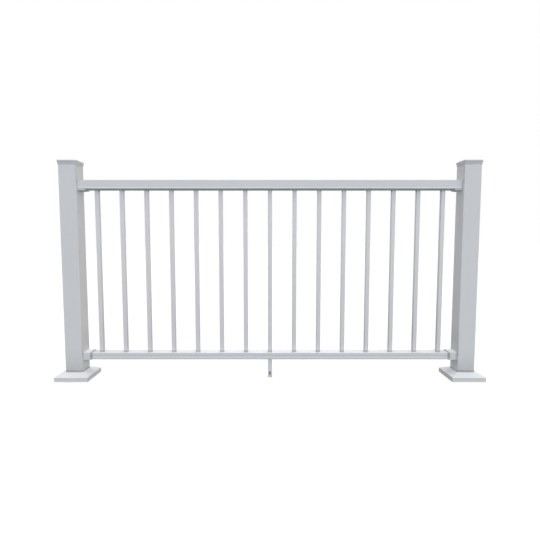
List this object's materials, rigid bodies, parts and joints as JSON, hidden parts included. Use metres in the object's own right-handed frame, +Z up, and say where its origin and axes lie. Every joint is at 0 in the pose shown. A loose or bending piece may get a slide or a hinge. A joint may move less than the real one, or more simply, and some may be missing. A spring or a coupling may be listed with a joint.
{
  "type": "aluminium railing bay",
  "caption": "White aluminium railing bay: two capped square posts on skirted base plates, a flat-topped rail, a lower rail on a support leg, and square upright balusters.",
  "frame": {"origin": "middle of the underside of the left post's base plate, at deck level", "axes": "+X along the rails from the left post to the right post, +Z up, -Y towards the viewer"},
  "size_m": [1.973, 0.153, 1.0045],
  "materials": {
    "post_coat": "satin",
    "cap_coat": "satin",
    "skirt_coat": "satin",
    "rail_coat": "satin",
    "baluster_coat": "satin",
    "bracket_coat": "satin",
    "leg_coat": "satin",
    "strip_plastic": "matte",
    "foot_plastic": "matte",
    "gasket_rubber": "matte",
    "plate_coat": "satin"
  },
  "bodies": {
    "root": {"base_plate_left": "plate_coat", "post_left": "post_coat", "post_skirt_left": "skirt_coat", "post_cap_left": "cap_coat", "top_bracket_left": "bracket_coat", "bottom_bracket_left": "bracket_coat", "rail_gasket_left": "gasket_rubber", "base_plate_right": "plate_coat", "post_right": "post_coat", "post_skirt_right": "skirt_coat", "post_cap_right": "cap_coat", "top_bracket_right": "bracket_coat", "bottom_bracket_right": "bracket_coat", "rail_gasket_right": "gasket_rubber", "top_rail": "rail_coat", "top_rail_strip": "strip_plastic", "bottom_rail": "rail_coat", "support_leg": "leg_coat", "support_foot": "foot_plastic", "baluster_01": "baluster_coat", "baluster_02": "baluster_coat", "baluster_03": "baluster_coat", "baluster_04": "baluster_coat", "baluster_05": "baluster_coat", "baluster_06": "baluster_coat", "baluster_07": "baluster_coat", "baluster_08": "baluster_coat", "baluster_09": "baluster_coat", "baluster_10": "baluster_coat", "baluster_11": "baluster_coat", "baluster_12": "baluster_coat", "baluster_13": "baluster_coat", "baluster_14": "baluster_coat", "baluster_15": "baluster_coat"}
  },
  "joints": []
}
